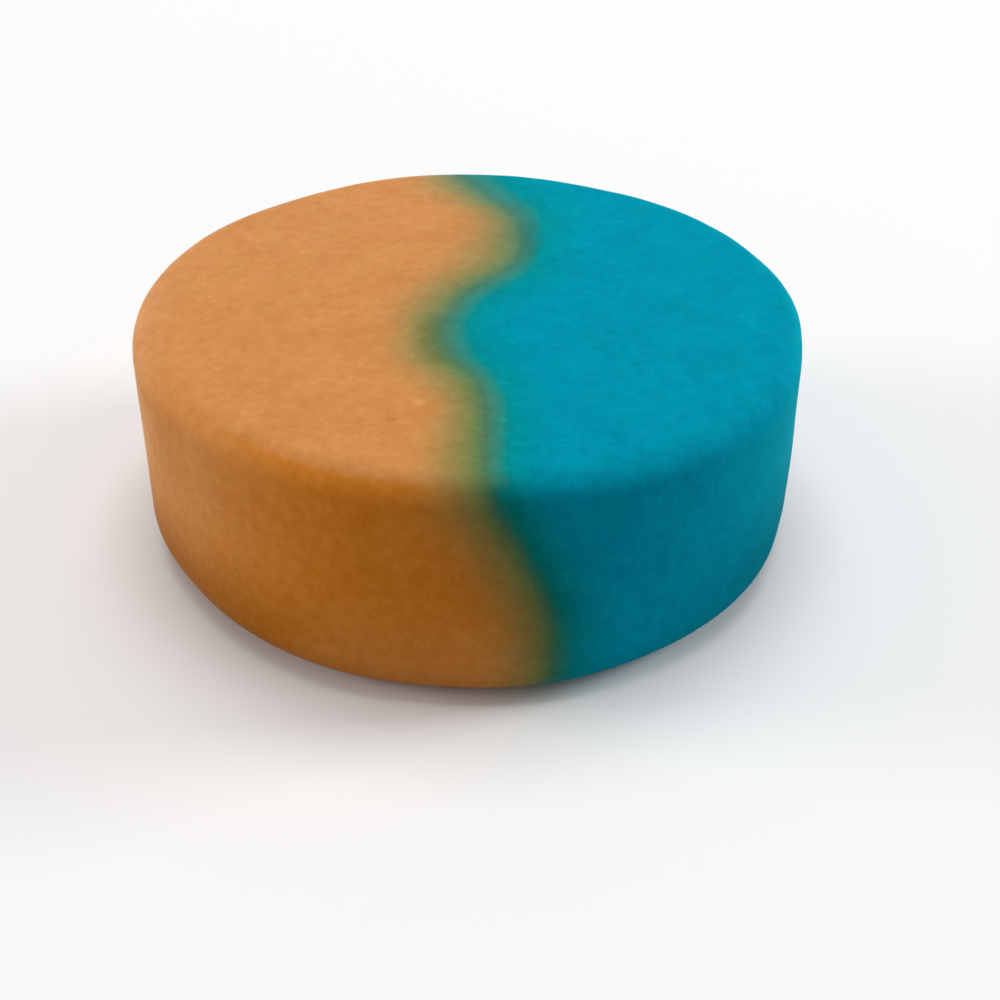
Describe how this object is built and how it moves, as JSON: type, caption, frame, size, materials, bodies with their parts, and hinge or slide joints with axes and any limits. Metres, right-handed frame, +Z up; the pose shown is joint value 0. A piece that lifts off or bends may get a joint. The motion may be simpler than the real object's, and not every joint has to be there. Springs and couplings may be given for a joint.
{
  "type": "bar of soap",
  "caption": "Round cast bar of soap with a flat underside, nearly upright wall, soft edges and a slightly crowned top in two colours.",
  "frame": {"origin": "middle of the flat underside, on the surface the bar rests on", "axes": "+Z up through the middle of the top; in the looks, orange is on the -X side and blue-green on the +X side, and the line between them runs roughly along Y"},
  "size_m": [0.0804, 0.0804, 0.0295],
  "materials": {
    "soap": "matte handmade soap, muted orange on one side of a wavy line through the bar and blue-green on the other"
  },
  "bodies": {
    "root": {"soap_bar": "soap"}
  },
  "joints": []
}
